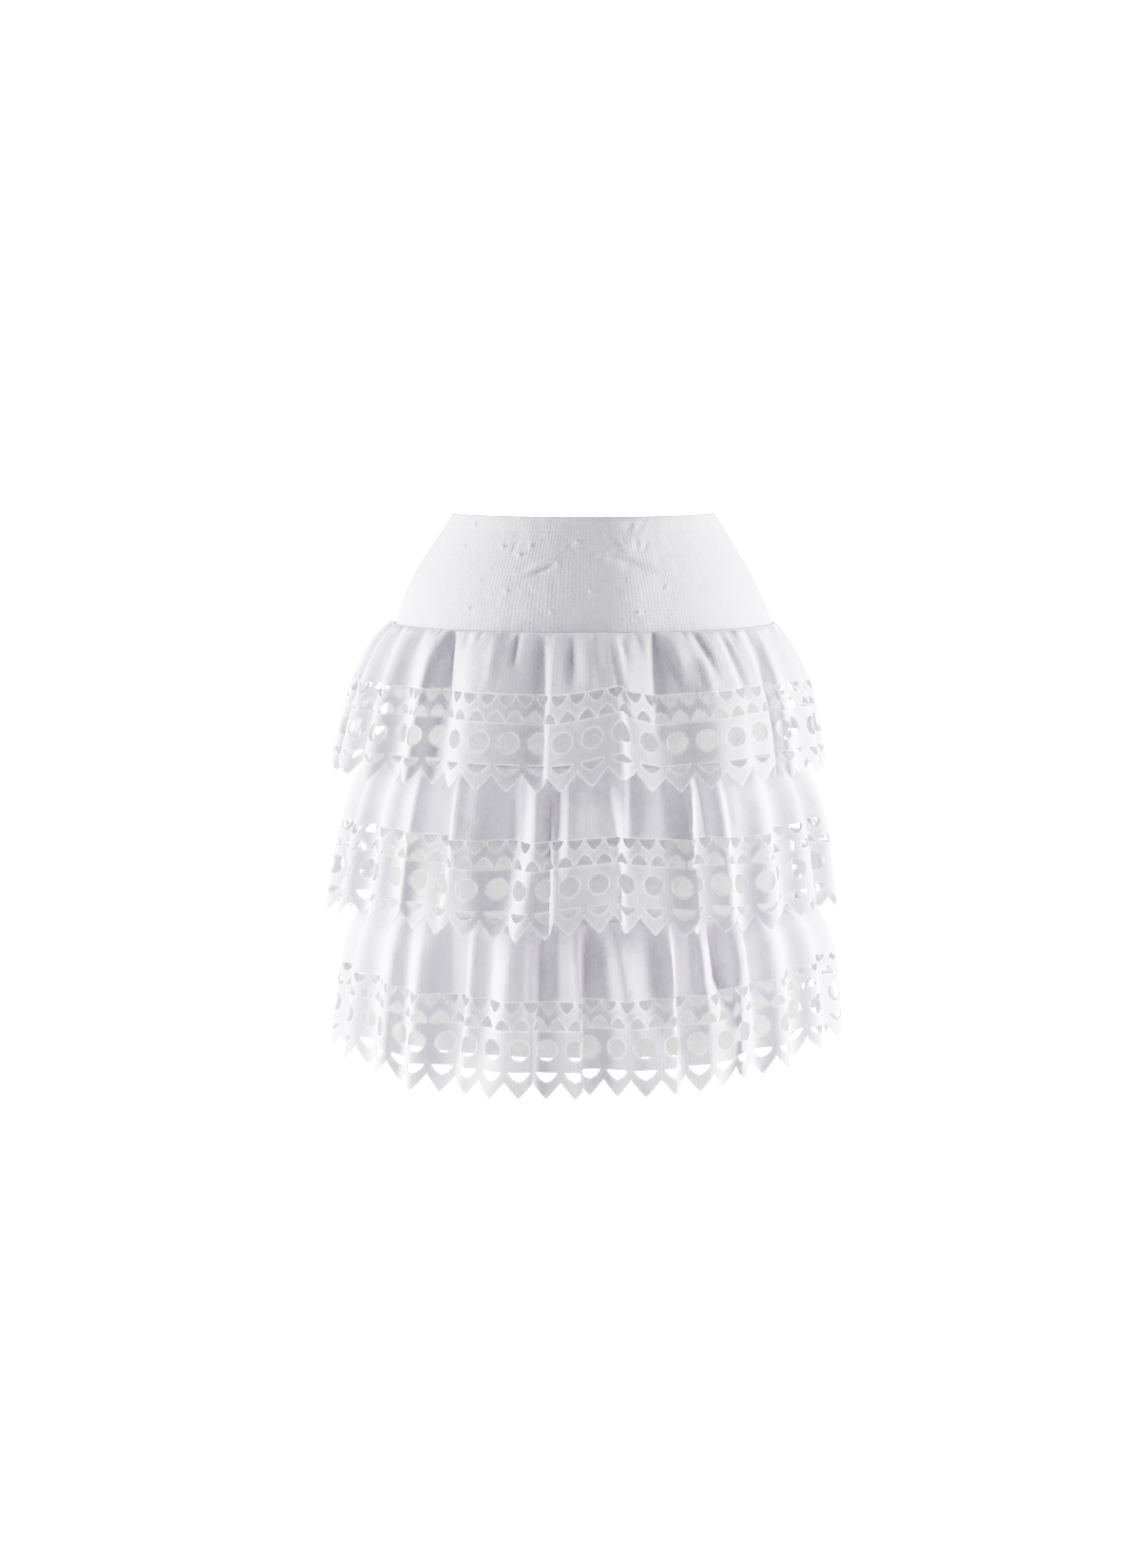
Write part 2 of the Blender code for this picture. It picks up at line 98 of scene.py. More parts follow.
# Crests and troughs at the hem, as (at_cell, out_mm, lift_mm, sharp, lean_cells), the last two 0 where left out.
# sharp is 0 for a round one and 1 for a knife edge, and at the seam a fold starts lean_cells to the right of where it
# ends.
FOLDS = {
    "tier_1": (
        (0.45, -8, 0), (1.2, 9, 0), (2.0, -9, 0), (3.1, 9, 1), (4.2, -9, 0), (5.3, 9, 1), (6.4, -7, 1),
        (7.5, 8, 2, 0.3), (8.5, -10, 1), (10.1, 7, 1), (12.7, -4, -1, 0.8), (13.0, 3, -1, 0.7),
        (13.8, 5, 2), (15.5, 5, 12, 0.95, -0.65), (15.85, 1, 5, 0, -0.5), (16.9, -1, -2),
        (18.9, 14, 4, 0.5), (19.7, 15, 6), (20.3, 12, 8), (21.0, 12, 9, 0.4), (21.9, -4, 9), (22.6, 10, 8),
        (23.5, 0, 9), (24.6, 9, 8), (25.7, -9, 8), (26.8, 9, 6),
    ),
    "tier_2": (
        (0.3, -10, 3), (1.3, 11, 4), (2.5, -11, 5), (3.6, 11, 6), (4.7, -9, 7), (5.7, 5, 8), (6.4, -2, 6),
        (6.95, 4, 5, 0.8), (7.4, -3, 4), (8.2, 2, 3), (9.4, 1, 0), (10.8, -7, 0), (11.5, 5, 0, 0.3),
        (12.65, -5, 2, 0.7), (12.95, 3, 4, 0.6), (14.0, 1, 8), (15.25, 9, 12, 0.95, -0.4),
        (15.55, 3, 8, 0, -0.3), (16.8, 1, 5), (18.0, 12, 3, 0.9, 0.5), (18.6, -7, 5, 0, 0.4),
        (19.8, 6, 5, 0.5), (20.6, -7, 2), (21.7, 8, 5), (22.8, -10, 8), (24.0, 7, 12), (25.1, -11, 12),
        (26.2, 11, 11), (27.3, -10, 9),
    ),
    "tier_3": (
        (0.3, -8, 17), (1.4, 9, 17), (2.5, -8, 17), (3.6, 9, 15), (4.7, -8, 13), (5.8, 6, 9), (6.5, -8, 4),
        (7.4, 7, 1, 0.4), (8.7, -4, 0), (9.4, -5, 0), (10.6, 5, 0), (11.95, 4, 1, 0.95), (12.3, -3, 0),
        (13.75, 4, 1, 0.9), (14.4, -13, 2), (16.6, 12, 4), (17.55, 11, 4, 0.95), (17.9, 4, 4),
        (18.9, 4, 4, 0.5, 0.2), (19.9, -9, 5), (20.4, 4, 11, 0.4), (21.3, -6, 10), (22.3, 9, 12),
        (23.4, -9, 18), (24.5, 9, 22), (25.6, -8, 24), (26.8, 9, 24),
    ),
}
BACK_FOLDS_OF = {"tier_1": "tier_3", "tier_2": "tier_1", "tier_3": "tier_2"}  # turned end for end
BACK_LIFT = 0.4  # share of the lift that a fold keeps on the back
SIDE_LIFT_CELLS = 3.5  # the lift at a side fades over about this many cells behind it
FOLD_SPACING = 0.8  # least cells between the folds of the front and of the back
FOLD_LINE_V = 119 * MM  # where the folds' line is as long as the cloth
FOLD_SCALES = (0.3, 1.4)  # between which the folds' height is scaled to make it so
FOLD_STEPS = 24  # to half a wave
MOST_BEND = 1.9  # radians
ROUND_STEPS = 1400
ROUND_SPARE = 0.5  # radians past each end of the round
FOLD_START = {"tier_1": 0.45, "tier_2": 0.7, "tier_3": 0.8}  # share of a fold's height that it has near the seam
FOLD_START_V = 8 * MM  # it comes in over about this length
FOLD_FULL_V = 95 * MM  # where a fold has its whole height

# Single dents and bulges below a seam, as (at_cell, top_mm, low_mm, lean_cells, left_mm, right_mm, depth_mm): where,
# from and to which length down, how far they lean to the right on the way, half their width on each side, and how
# far they go in (out, if below zero).
DENTS = {
    "tier_1": (
        (8.3, 0, 104, 0.65, 8, 5, 8), (9.25, 2, 24, 0.05, 5, 4, 2.5), (10.7, 2, 60, -0.1, 7, 6, -3),
        (11.5, 1, 42, -0.05, 4, 4, 5), (12.55, 0, 84, 0.2, 8, 3, 3), (13.7, 1, 60, 0.15, 5, 7, 4.5),
        (14.4, 2, 104, 0, 9, 7, -3), (15, 2, 60, 0.3, 13, 11, -5), (15.9, 4, 104, 0, 5, 14, -5),
        (15.38, 0, 90, 0.4, 5, 5, -6), (16.3, 1, 30, 0, 5, 5, 2), (16.95, 0, 104, -0.2, 4, 7, 7),
        (17.6, 4, 60, 0.4, 5, 12, -5),
        (18.75, 1, 50, 0.45, 6, 4, 5), (18.7, 28, 66, 0.2, 6, 5, -3), (19.95, 1, 78, 0.3, 5.5, 5.5, 6),
    ),
    "tier_2": (
        (8.55, 2, 150, -0.1, 24, 4, 21), (8.8, 0, 104, 0.1, 5, 8, -4), (11.5, 2, 150, -0.2, 32, 8, 22),
        (11.65, 0, 104, 0, 4, 4, 3), (12.15, 0, 104, 0, 6, 7, -5), (13.0, 0, 100, 0.1, 5, 4, 8),
        (13.35, 0, 104, 0.1, 3, 6, -3), (14.4, 0, 120, 0, 24, 18, -9),
        (14.8, 2, 44, 0.5, 8, 7, 4), (15.2, 0, 104, 0.1, 9, 3, -3), (15.8, 0, 104, -0.2, 3, 10, 6),
        (17.1, 2, 104, 0, 7, 9, 2), (18.45, 0, 104, 0, 10, 4, -4), (18.95, 0, 104, 0.3, 3, 8, 5),
        (20.1, 2, 104, 0.1, 6, 6, 4), (20.6, 0, 104, 0, 14, 16, -7),
    ),
    "tier_3": (
        (9.12, 0, 150, -0.1, 28, 5, 24), (9.5, 0, 104, 0, 4, 4, -1), (10.3, 2, 150, -0.1, 14, 10, 15),
        (11.15, 0, 104, -0.3, 9, 11, -5), (11.85, 0, 104, 0, 5, 1.5, -2), (12.15, 0, 100, 0, 2.4, 4, 3),
        (12.85, 0, 96, 0, 7, 6, 5), (13.6, 0, 100, 0.1, 6, 7, -3), (14.1, 0, 100, 0.05, 2.5, 6, 8),
        (15.3, 0, 104, 0.7, 12, 13, -11), (16.7, 0, 100, 0.2, 13, 12, 10), (17.65, 0, 104, -0.2, 6, 3, -3),
        (17.8, 0, 150, -0.1, 3, 14, 9), (18.45, 0, 100, 0, 5, 5, 3), (18.85, 0, 100, 0, 5, 3, -4),
        (19.6, 0, 100, 0.1, 9, 20, 17), (19.9, 50, 160, 0, 24, 8, -15), (20.7, 0, 150, 0, 22, 9, -9),
        (21.2, 0, 100, 0, 4, 4, 5),
    ),
}
DENT_START = 7  # how soon a dent is at its deepest
LEAST_SLANT = 0.1  # least way out for each length down, so that dents keep clear of the body, which widens downward

# Fine gathers all round, below the seam.
GATHERS = 76
GATHER_DEPTHS = {"tier_1": 2.2 * MM, "tier_2": 1.2 * MM, "tier_3": 1.2 * MM}
GATHER_HALF = 3.4 * MM
GATHER_REACH = 30 * MM
GATHER_SPREAD = 60 * MM  # they are twice as wide this far down
GATHER_START_V = 3 * MM  # a gather comes in over about this length
GATHER_FADE = 1.2  # power by which it fades
# How much the gathers differ from one another, each as (share, radians from one gather to the next).
PLACE_VARIES = (0.36, 2.4)
WIDTH_VARIES = (0.35, 5.1)
REACH_VARIES = (0.55, 3.3)
DEPTH_VARIES = (0.35, 7.7)
PUFF_V = 5 * MM  # between the gathers the cloth puffs up over the seam here
PUFF_HEIGHT = 1.6 * MM
SEAM_EVEN_CELLS = 2.5  # over which the cloth's drift at the seam is smoothed, to each side
SEAM_STEPS = 20  # to a cell

# ---------------------------------------------------------------- cutwork, by its place in a repeat

PITCH = REPEAT / 3  # of the triangles
TRIANGLE_HALF = 7.3 * MM
TRIANGLE_BULGE = 1.6 * MM
DOWN_ROW = (62 * MM, 72.5 * MM)
UP_ROW = (77 * MM, 87 * MM)
FIRST_UP = {"tier_1": 8.8 * MM, "tier_2": 0.5 * MM, "tier_3": 5.8 * MM}
TRIANGLE_SIDE_STEPS = 4
BAND_V = 93 * MM  # plain band between the triangles and the circles
CIRCLE_V = 104.8 * MM
CIRCLE_RADIUS = 8.9 * MM
CIRCLE_STEPS = 26
LEAF_ROW = (125 * MM, 133 * MM)
LEAF_HALF = 9.5 * MM
LEAF_BULGE = 1.2 * MM
LEAF_SIDE_STEPS = 6
HEM_STEPS = 32  # to a repeat
HEM_SOFT = 0.07  # share of half a tooth's width over which its point is rounded
HEM_LET_DOWN = 0.6  # the hem is let down by this share of what the rounding takes from a point
FLANK_FLATTER = 0.4  # and its flanks are flatter by this share of HEM_SOFT
MESH_STEP = 2.4 * MM
EDGE_CLEAR = 0.9 * MM  # no free point is nearer than this to a cut edge
JOIN_MM = 1e-5  # points of the flat cut nearer than this are one
WELD = 0.02 * MM
CUT_ANGLE = math.radians(55)  # an edge sharper than this is shaded as one

# ---------------------------------------------------------------- the body of the skirt


def smooth_between(x, knots, values):
    """Values at x on a smooth curve through the knots, for a table in rising order."""
    steps = np.diff(knots)
    rises = np.diff(values) / steps
    slopes = np.concatenate([rises[:1], (rises[1:] + rises[:-1]) / 2, rises[-1:]])
    i = np.clip(np.searchsorted(knots, x) - 1, 0, len(steps) - 1)
    t = np.clip((x - knots[i]) / steps[i], 0, 1)
    start = values[i] + slopes[i] * steps[i] * t * (1 - t) ** 2
    end = -slopes[i + 1] * steps[i] * (1 - t) * t**2
    return start + (values[i + 1] - values[i]) * t**2 * (3 - 2 * t) + end


def body_half_sizes(z):
    table = np.array(BODY_RINGS[::-1]) * MM
    return [smooth_between(z, table[:, 0], table[:, k]) for k in range(1, len(BODY_COLUMNS))]


def body_ring(angle, z):
    """(x, y) on the body's outer face, and the way out (x, y)."""
    left, right, front, back = body_half_sizes(z)
    across = np.where(np.cos(angle) > 0, left, right)
    deep = np.where(np.sin(angle) > 0, front, back)
    x = -across * np.cos(angle)
    y = -deep * np.sin(angle)
    out_x = -deep * np.cos(angle)
    out_y = -across * np.sin(angle)
    length = np.hypot(out_x, out_y)
    return x, y, out_x / length, out_y / length


def waist_dip(angle, z):
    return BACK_WAIST_DIP * np.clip(1 + z / YOKE_HEIGHT, 0, 1) * np.maximum(-np.sin(angle), 0)


# ---------------------------------------------------------------- the tiers' drape


@functools.cache
def flare_of(tier, side):
    """(v, out, drop): how far the cloth of this side is out from its seam and below it, at lengths v down it."""
    row = next(row for row in FLARES[tier] if row[0] == side)
    _, seam_angle, fade_mm, hem_out_mm = row
    v = np.linspace(0, TIER_LENGTH + HIDDEN[tier], FLARE_STEPS)
    middle = (v[1:] + v[:-1]) / 2
    step = v[1] - v[0]
    low, high = HEM_ANGLES
    for _ in range(HALVINGS):
        hem_angle = (low + high) / 2
        angle = np.radians(hem_angle + (seam_angle - hem_angle) * np.exp(-middle / (fade_mm * MM)))
        if np.sin(angle).sum() * step < hem_out_mm * MM:
            low = hem_angle
        else:
            high = hem_angle
    out = np.concatenate([[0], np.cumsum(np.sin(angle) * step)])
    drop = np.concatenate([[0], np.cumsum(np.cos(angle) * step)])
    return v, out, drop


def cut_length(tier, v):
    """Distance down a tier's cloth from its seam, for places v on the pattern that all tiers share."""
    extra = HIDDEN[tier]
    return np.interp(v, (0, PLAIN_V, TIER_LENGTH), (0, PLAIN_V + extra, TIER_LENGTH + extra))


def stand_off(tier, angle, v):
    """(out, drop) of a tier's middle line at this angle round the body."""
    out = np.zeros_like(v)
    drop = np.zeros_like(v)
    for side, share in (
        ("left", np.maximum(np.cos(angle), 0) ** 2),
        ("right", np.maximum(-np.cos(angle), 0) ** 2),
        ("front", np.maximum(np.sin(angle), 0) ** 2),
        ("back", np.maximum(-np.sin(angle), 0) ** 2),
    ):
        lengths, outs, drops = flare_of(tier, side)
        out += share * np.interp(cut_length(tier, v), lengths, outs)
        drop += share * np.interp(cut_length(tier, v), lengths, drops)
    return out, drop


def half_wave(steepness, sharp_here, sharp_there):
    """Slopes along half a wave that rises by this share of its cloth's length, from one crest or trough to the
    next. A sharp end starts steep, so that its crest is an edge."""
    t = (np.arange(FOLD_STEPS) + 0.5) / FOLD_STEPS
    swing = np.sin(math.pi * (sharp_here / 2 + t * (1 - sharp_here / 2 - sharp_there / 2)))
    low, high = 0.0, MOST_BEND
    for _ in range(HALVINGS):
        bend = (low + high) / 2
        if np.sin(bend * swing).mean() < steepness:
            low = bend
        else:
            high = bend
    return bend * swing


def fold_line(rows, scale):
    """(u, along, out) down the line of the hem through the folds' crests and troughs."""
    u, along, out = [0.0], [0.0], [rows[0][1] * scale * MM]
    for here, there in zip(rows, rows[1:]):
        length = (there[0] - here[0]) * CELL
        rise = (there[1] - here[1]) * scale * MM
        slope = half_wave(abs(rise) / length, here[3], there[3]) * np.sign(rise)
        step = length / FOLD_STEPS
        u.extend(u[-1] + step * np.arange(1, FOLD_STEPS + 1))
        along.extend(along[-1] + np.cumsum(np.cos(slope)) * step)
        out.extend(out[-1] + np.cumsum(np.sin(slope)) * step)
    return np.array(u), np.array(along), np.array(out)


def all_folds(tier):
    """The rows of folds all round a tier, and the first again at the end."""
    front = [(*row, 0, 0)[:5] for row in FOLDS[tier]]
    last_at, _, last_lift, _, _ = front[-1]
    first_at, first_out, first_lift, *first_rest = front[0]
    first_at += CELLS_ROUND
    back = []
    for row in reversed(FOLDS[BACK_FOLDS_OF[tier]]):
        at, out, lift, sharp, lean = (*row, 0, 0)[:5]
        at = CELLS_ROUND - at
        if last_at + FOLD_SPACING < at < first_at - FOLD_SPACING:
            from_right = last_lift * math.exp(-(at - last_at) / SIDE_LIFT_CELLS)
            from_left = first_lift * math.exp(-(first_at - at) / SIDE_LIFT_CELLS)
            back.append((at, out, max(lift * BACK_LIFT, from_right, from_left), sharp, -lean))
    return front + back + [(first_at, first_out, first_lift, *first_rest)]


def all_dents(tier):
    """The rows of dents on the front, and another tier's, turned round, on the back."""
    back = DENTS[BACK_FOLDS_OF[tier]]
    turned = [(CELLS_ROUND - at, top, low, -lean, right, left, depth)
              for at, top, low, lean, left, right, depth in back]
    return DENTS[tier] + tuple(turned)


class Drape:
    """Where the cloth of one tier lies in space: u runs round it from the left side seam, v down it."""

    def __init__(self, tier):
        self.tier = tier
        self.round = CELLS_ROUND * CELL
        rows = all_folds(tier)
        angles = np.linspace(-ROUND_SPARE, 2 * math.pi + ROUND_SPARE, ROUND_STEPS)
        self.angles = angles
        self.hem_along = self.lengths_round(angles, np.full_like(angles, FOLD_LINE_V))
        hem_round = np.interp(2 * math.pi, angles, self.hem_along)
        low, high = FOLD_SCALES
        for _ in range(HALVINGS):
            scale = (low + high) / 2
            u, along, out = fold_line(rows, scale)
            if along[-1] > hem_round:
                low = scale
            else:
                high = scale
        start = rows[0][0] * CELL
        self.fold_u = u + start
        self.fold_out = out
        slack = along * hem_round / along[-1]
        shift = np.interp(0, np.concatenate([self.fold_u - self.round, self.fold_u]),
                          np.concatenate([slack - hem_round, slack]))
        self.fold_along = slack - shift + TWIST[tier]
        self.hem_round = hem_round
        self.lift_u = np.array([row[0] * CELL for row in rows])
        self.lift = np.array([row[2] * MM for row in rows])
        self.lean = np.array([row[4] * CELL for row in rows])
        self.seam_u, self.seam_drift = self.even_seam()

    def hem_angle(self, u):
        turn = np.floor((u - self.fold_u[0]) / self.round)
        along = np.interp(u - turn * self.round, self.fold_u, self.fold_along) + turn * self.hem_round
        return np.interp(along, self.hem_along, self.angles)

    def even_seam(self):
        """(u, drift): how far the cloth at the seam lies round from an even spacing, in radians. It follows the hem,
        smoothed over some cells, so that the folds hang straight."""
        u = (np.arange(CELLS_ROUND * SEAM_STEPS) + 0.5) * CELL / SEAM_STEPS
        drift = self.hem_angle(u) - 2 * math.pi * u / self.round
        window = np.hanning(round(2 * SEAM_EVEN_CELLS * SEAM_STEPS) + 1)
        thrice = np.convolve(np.tile(drift, 3), window / window.sum(), mode="same")
        return u, thrice[len(u) : 2 * len(u)]

    def lengths_round(self, angles, v):
        """Distance round the tier at v from angle 0, for each of the angles."""
        x, y, out_x, out_y = body_ring(angles, np.full_like(angles, SEAM_Z[self.tier]))
        out, _ = stand_off(self.tier, angles, v)
        x = x + out_x * out
        y = y + out_y * out
        along = np.concatenate([[0], np.cumsum(np.hypot(np.diff(x), np.diff(y)))])
        return along - np.interp(0, angles, along)

    def place(self, u, v):
        """Points in space of the middle of the cloth."""
        lean = np.interp(u, self.lift_u, self.lean, period=self.round)
        leant_u = u - lean * np.clip(1 - v / FOLD_FULL_V, 0, 1)
        fold = np.interp(leant_u, self.fold_u, self.fold_out, period=self.round)
        lift = np.interp(u, self.lift_u, self.lift, period=self.round)
        hem_angle = self.hem_angle(u)
        seam_angle = 2 * math.pi * u / self.round + np.interp(u, self.seam_u, self.seam_drift, period=self.round)
        grown = np.clip(v / FOLD_FULL_V, 0, 1)
        grown = grown**2 * (3 - 2 * grown)
        angle = seam_angle + (hem_angle - seam_angle) * grown
        start = FOLD_START[self.tier] * (1 - np.exp(-v / FOLD_START_V))
        out, drop = stand_off(self.tier, angle, v)
        out = out + fold * (start + (1 - FOLD_START[self.tier]) * grown)
        pinch = gathers(u, v, self.round)
        out = out - pinch * GATHER_DEPTHS[self.tier] - self.dents(u, v)
        out = np.maximum(out, drop * LEAST_SLANT)
        out = out + SEAM_GAP + TIER_WALL / 2
        x, y, out_x, out_y = body_ring(angle, np.full_like(angle, SEAM_Z[self.tier]))
        puff = PUFF_HEIGHT * (1 - 2 * pinch) * np.exp(-(((v - PUFF_V) / PUFF_V) ** 2)) * np.clip(v / PUFF_V, 0, 1)
        z = SEAM_Z[self.tier] - SEAM_GAP - drop + lift * grown + puff
        return np.stack([x + out_x * out, y + out_y * out, z], axis=1)

    def dents(self, u, v):
        """How far the cloth is pressed in by single dents."""
        depth = np.zeros_like(u)
        for at, top_mm, low_mm, lean, left_mm, right_mm, depth_mm in all_dents(self.tier):
            share = np.clip((v / MM - top_mm) / (low_mm - top_mm), 0, 1)
            centre = (at + lean * share) * CELL
            across = (u - centre + self.round / 2) % self.round - self.round / 2
            half = np.where(across < 0, left_mm, right_mm) * MM
            along = (1 - np.exp(-share * DENT_START)) * (1 - share**2)
            depth += depth_mm * MM * along * np.exp(-((across / half) ** 2))
        return depth


def gathers(u, v, around):
    """How far the cloth is pinched in by the uneven gathers all round a seam, as a share of their depth."""
    pitch = around / GATHERS
    depth = np.zeros_like(u)

    def varied(varies, k, phase=0):
        share, turn = varies
        return share * np.sin(turn * k + phase)

    for step in (-1, 0, 1):
        k = (np.floor(u / pitch) + step) % GATHERS
        centre = (k + 0.5 + varied(PLACE_VARIES, k)) * pitch
        across = (u - centre + around / 2) % around - around / 2
        half = GATHER_HALF * (1 + varied(WIDTH_VARIES, k)) * (1 + v / GATHER_SPREAD)
        reach = GATHER_REACH * (1 + varied(REACH_VARIES, k, phase=1))
        most = 1 - DEPTH_VARIES[0] + varied(DEPTH_VARIES, k)
        fade = np.clip(1 - v / reach, 0, 1) ** GATHER_FADE * (1 - np.exp(-v / GATHER_START_V))
        depth += most * fade * np.exp(-((across / half) ** 2))
    return depth


# ---------------------------------------------------------------- the flat cut of a tier


def bowed(start, end, bulge, steps):
    """Points from start to end, start left out, bowed to the left of the way by bulge."""
    (x0, y0), (x1, y1) = start, end
    length = math.hypot(x1 - x0, y1 - y0)
    side_x, side_y = -(y1 - y0) / length, (x1 - x0) / length
    points = []
    for i in range(1, steps + 1):
        t = i / steps
        bow = bulge * 4 * t * (1 - t)
        points.append((x0 + (x1 - x0) * t + side_x * bow, y0 + (y1 - y0) * t + side_y * bow))
    return points


def circle_cut(centre):
    turns = [2 * math.pi * k / CIRCLE_STEPS for k in range(CIRCLE_STEPS)]
    return [(centre + CIRCLE_RADIUS * math.cos(a), CIRCLE_V + CIRCLE_RADIUS * math.sin(a)) for a in turns]


def pointed_cut(centre, half, base_v, tip_v, bulge):
    """A triangle with bowed sides, or a leaf: flat on its base line and pointed at tip_v."""
    left, right, tip = (centre - half, base_v), (centre + half, base_v), (centre, tip_v)
    outward = bulge if tip_v > base_v else -bulge
    steps = TRIANGLE_SIDE_STEPS if half < LEAF_HALF else LEAF_SIDE_STEPS
    return bowed(left, right, 0, steps) + bowed(right, tip, -outward, steps) + bowed(tip, left, -outward, steps)


def cuts_of(tier):
    """The holes of one repeat."""
    cuts = []
    for cell in (0.5, 1.5):
        cuts.append(circle_cut(cell * CELL))
        cuts.append(pointed_cut(cell * CELL, LEAF_HALF, *LEAF_ROW, LEAF_BULGE))
    for k in range(3):
        up = FIRST_UP[tier] + k * PITCH
        cuts.append(pointed_cut(up, TRIANGLE_HALF, UP_ROW[1], UP_ROW[0], TRIANGLE_BULGE))
        cuts.append(pointed_cut(up + PITCH / 2, TRIANGLE_HALF, *DOWN_ROW, TRIANGLE_BULGE))
    return cuts


def border_u(tier, v):
    """A line down the cloth, at one end of a repeat, that passes between the holes."""
    up = FIRST_UP[tier]
    knots = np.array([0, PLAIN_V, DOWN_ROW[0], DOWN_ROW[1], UP_ROW[0], UP_ROW[1], BAND_V, VALLEY_V])
    places = np.array([0, 0, up, up, up - PITCH / 2, up - PITCH / 2, 0, 0])
    return np.interp(v, knots, places)


def hem_v(u):
    """The zigzag hem, a point to each cell with its tip a little rounded."""
    t = np.abs((u / CELL) % 1 - 0.5) * 2
    depth = TIER_LENGTH - VALLEY_V
    flank = depth * np.sqrt(t**2 + HEM_SOFT**2) * (1 - FLANK_FLATTER * HEM_SOFT)
    return TIER_LENGTH + depth * HEM_SOFT * HEM_LET_DOWN - flank


def distance_to(points, outline):
    """Distance of each point from a closed outline's nearest edge."""
    ends = np.array(outline)
    starts = np.roll(ends, 1, axis=0)
    way = ends - starts
    best = np.full(len(points), np.inf)
    for start, step in zip(starts, way):
        t = np.clip(((points - start) @ step) / (step @ step), 0, 1)
        near = start + t[:, None] * step
        best = np.minimum(best, np.hypot(*(points - near).T))
    return best


def inside_of(points, outline):
    """Whether each point is inside a closed outline."""
    ends = np.array(outline)
    starts = np.roll(ends, 1, axis=0)
    crossings = np.zeros(len(points), int)
    x, y = points.T
    for (x0, y0), (x1, y1) in zip(starts, ends):
        if y0 == y1:
            continue
        crosses = ((y0 > y) != (y1 > y)) & (x < x0 + (y - y0) * (x1 - x0) / (y1 - y0))
        crossings += crosses
    return crossings % 2 == 1


def repeat_pattern(tier):
    """(points, triangles) of one repeat of a tier, flat, with its holes cut."""
    rows = np.linspace(0, VALLEY_V, round(VALLEY_V / MESH_STEP) + 1)
    columns = round(REPEAT / MESH_STEP)
    left = [(border_u(tier, v), v) for v in rows]
    hem_u = np.linspace(0, REPEAT, HEM_STEPS + 1)
    hem = [(u, float(hem_v(u))) for u in hem_u]
    hem[0], hem[-1] = (0.0, VALLEY_V), (REPEAT, VALLEY_V)
    outline = left + hem[1:-1] + [(u + REPEAT, v) for u, v in reversed(left)]
    cuts = cuts_of(tier)
    across = np.arange(1, columns) * REPEAT / columns
    grid = [(border_u(tier, v) + u, v) for v in rows[1:] for u in across]
    grid += [(u, v) for v in np.arange(VALLEY_V + MESH_STEP, TIER_LENGTH, MESH_STEP) for u in across]
    grid = np.array(grid)
    clear = inside_of(grid, outline) & (distance_to(grid, outline) > EDGE_CLEAR)
    for cut in cuts:
        clear &= ~inside_of(grid, cut) & (distance_to(grid, cut) > EDGE_CLEAR)
    top = [(u, 0.0) for u in across]
    points = list(outline) + top
    edges = []
    ring = list(range(len(outline))) + list(range(len(outline) + len(top) - 1, len(outline) - 1, -1))
    edges.extend(zip(ring, ring[1:] + ring[:1]))
    for cut in cuts:
        first = len(points)
        points.extend(cut)
        edges.extend((first + i, first + (i + 1) % len(cut)) for i in range(len(cut)))
    points.extend(map(tuple, grid[clear]))
    flat, _, faces, *_ = delaunay_2d_cdt([Vector(p) / MM for p in points], edges, [], 0, JOIN_MM)
    flat = np.array(flat) * MM
    faces = np.array([face for face in faces if len(face) == 3])
    middles = flat[faces].mean(axis=1)
    kept = inside_of(middles, outline)
    for cut in cuts:
        kept &= ~inside_of(middles, cut)
    return flat, faces[kept]


# ---------------------------------------------------------------- making pieces


def new_piece(name, mesh, material, node_names):
    mesh.materials.append(material)
    piece = bpy.data.objects.new(name, mesh)
    bpy.context.scene.collection.objects.link(piece)
    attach(piece, "root")
    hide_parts(*node_names)
    return piece


def thicken(mesh, wall, offset):
    """The mesh as a wall, with its cut edges kept crisp."""
    holder = bpy.data.objects.new("holder", mesh)
    bpy.context.scene.collection.objects.link(holder)
    solid = holder.modifiers.new("wall", "SOLIDIFY")
    solid.thickness = wall
    solid.offset = offset
    graph = bpy.context.evaluated_depsgraph_get()
    made = bpy.data.meshes.new_from_object(holder.evaluated_get(graph))
    bpy.data.objects.remove(holder)
    made.shade_smooth()
    made.set_sharp_from_angle(angle=CUT_ANGLE)
    return made


